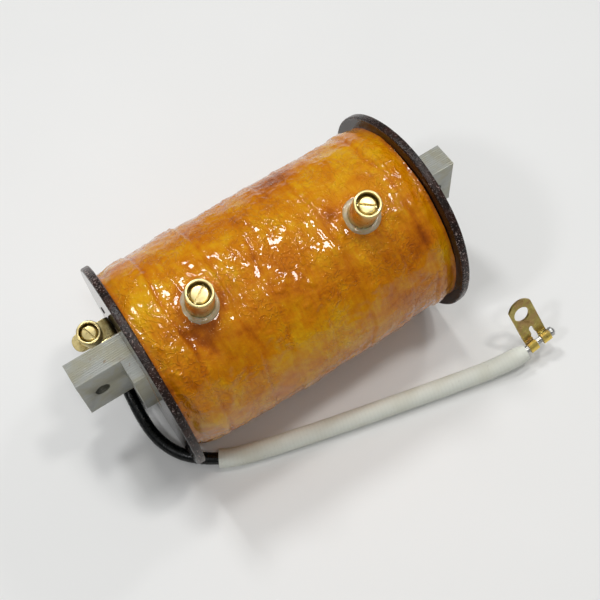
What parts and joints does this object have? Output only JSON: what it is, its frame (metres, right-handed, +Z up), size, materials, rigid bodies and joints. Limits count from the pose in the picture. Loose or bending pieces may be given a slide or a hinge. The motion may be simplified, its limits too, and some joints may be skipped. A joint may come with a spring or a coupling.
{
  "type": "ignition coil",
  "caption": "Magneto ignition coil with taped varnished winding, fibre flanges, laminated lap-tongue core, brass terminal posts and a sleeved lead.",
  "frame": {"origin": "middle of the core between its two bolt holes, on the seat plane of the lap tongues; the free lead is left out of the claims", "axes": "+X along the core towards the right-hand flange, -Y is the way the lap tongues' seats face, +Z up from the surface that the flanges rest on"},
  "size_m": [0.1189, 0.077, 0.0637],
  "materials": {
    "core_steel": "bare, lightly stained with varnish",
    "pressboard": "varnished pressboard",
    "fibre": "dark vulcanised fibre, varnished",
    "copper_wire": "enamelled copper",
    "varnished_cloth": "varnished cambric",
    "varnished_tape": "glossy amber varnish over lapped tape",
    "brass": "turned brass, aged",
    "screw_brass": "bright slotted brass",
    "collar": "translucent grey insulating collar",
    "lead_insulation": "black insulation, satin",
    "woven_sleeve": "grey-white woven sleeve",
    "tinned_wire": "tinned copper strands",
    "tag_brass": "stamped brass, olive tarnish"
  },
  "bodies": {
    "coil": {"core_long_laminations": "core_steel", "core_short_laminations": "core_steel", "core_rivets": "core_steel", "core_packing_strip": "pressboard", "former_tube": "pressboard", "section_divider": "pressboard", "margin_ring_left": "pressboard", "margin_ring_right": "pressboard", "flange_left": "fibre", "flange_right": "fibre", "flange_bush": "fibre", "primary_winding": "copper_wire", "secondary_winding_left": "copper_wire", "secondary_winding_right": "copper_wire", "section_link": "copper_wire", "secondary_lead_left": "copper_wire", "secondary_lead_right": "copper_wire", "primary_start_wire": "copper_wire", "primary_insulation": "varnished_cloth", "inner_insulation_wrap": "varnished_cloth", "outer_tape_wrap": "varnished_tape", "contact_plate_left": "brass", "contact_plate_right": "brass", "post_left": "brass", "post_right": "brass", "post_collar_left": "collar", "post_collar_right": "collar", "primary_strap": "brass", "primary_cup": "brass", "primary_nut": "brass", "strap_rivets": "brass", "lead_ferrule": "brass", "lead": "lead_insulation", "lead_sleeve": "woven_sleeve", "lead_conductor": "tinned_wire", "lead_tag": "tag_brass"},
    "left_post_washer": {"post_washer_left": "brass"},
    "left_post_screw": {"post_screw_left": "screw_brass"},
    "right_post_washer": {"post_washer_right": "brass"},
    "right_post_screw": {"post_screw_right": "screw_brass"},
    "primary_terminal_washer": {"primary_washer": "brass"},
    "primary_terminal_screw": {"primary_screw": "screw_brass"}
  },
  "joints": [
    {"name": "left_post_screw_turn", "type": "hinge", "parent": "coil", "child": "left_post_washer", "pos_m": [-0.0228, -0.0081, 0.03199], "axis": [0, -0.2453, 0.9694], "range_deg": [0, 1800]},
    {"name": "left_post_screw_travel", "type": "slide", "parent": "left_post_washer", "child": "left_post_screw", "axis": [0, -0.2453, 0.9694], "range_m": [0, 0.0025]},
    {"name": "right_post_screw_turn", "type": "hinge", "parent": "coil", "child": "right_post_washer", "pos_m": [0.022, -0.01003, 0.03144], "axis": [0, -0.304, 0.9527], "range_deg": [0, 1800]},
    {"name": "right_post_screw_travel", "type": "slide", "parent": "right_post_washer", "child": "right_post_screw", "axis": [0, -0.304, 0.9527], "range_m": [0, 0.0025]},
    {"name": "primary_terminal_screw_turn", "type": "hinge", "parent": "coil", "child": "primary_terminal_washer", "pos_m": [-0.0478, 0.01168, 0.00751], "axis": [0, -0.2756, 0.9613], "range_deg": [0, 1800]},
    {"name": "primary_terminal_screw_travel", "type": "slide", "parent": "primary_terminal_washer", "child": "primary_terminal_screw", "axis": [0, -0.2756, 0.9613], "range_m": [0, 0.0025]}
  ],
  "couplings": [
    {"joint": "left_post_screw_turn", "follows": "left_post_screw_travel", "rad_per_m": 12566},
    {"joint": "right_post_screw_turn", "follows": "right_post_screw_travel", "rad_per_m": 12566},
    {"joint": "primary_terminal_screw_turn", "follows": "primary_terminal_screw_travel", "rad_per_m": 12566}
  ]
}
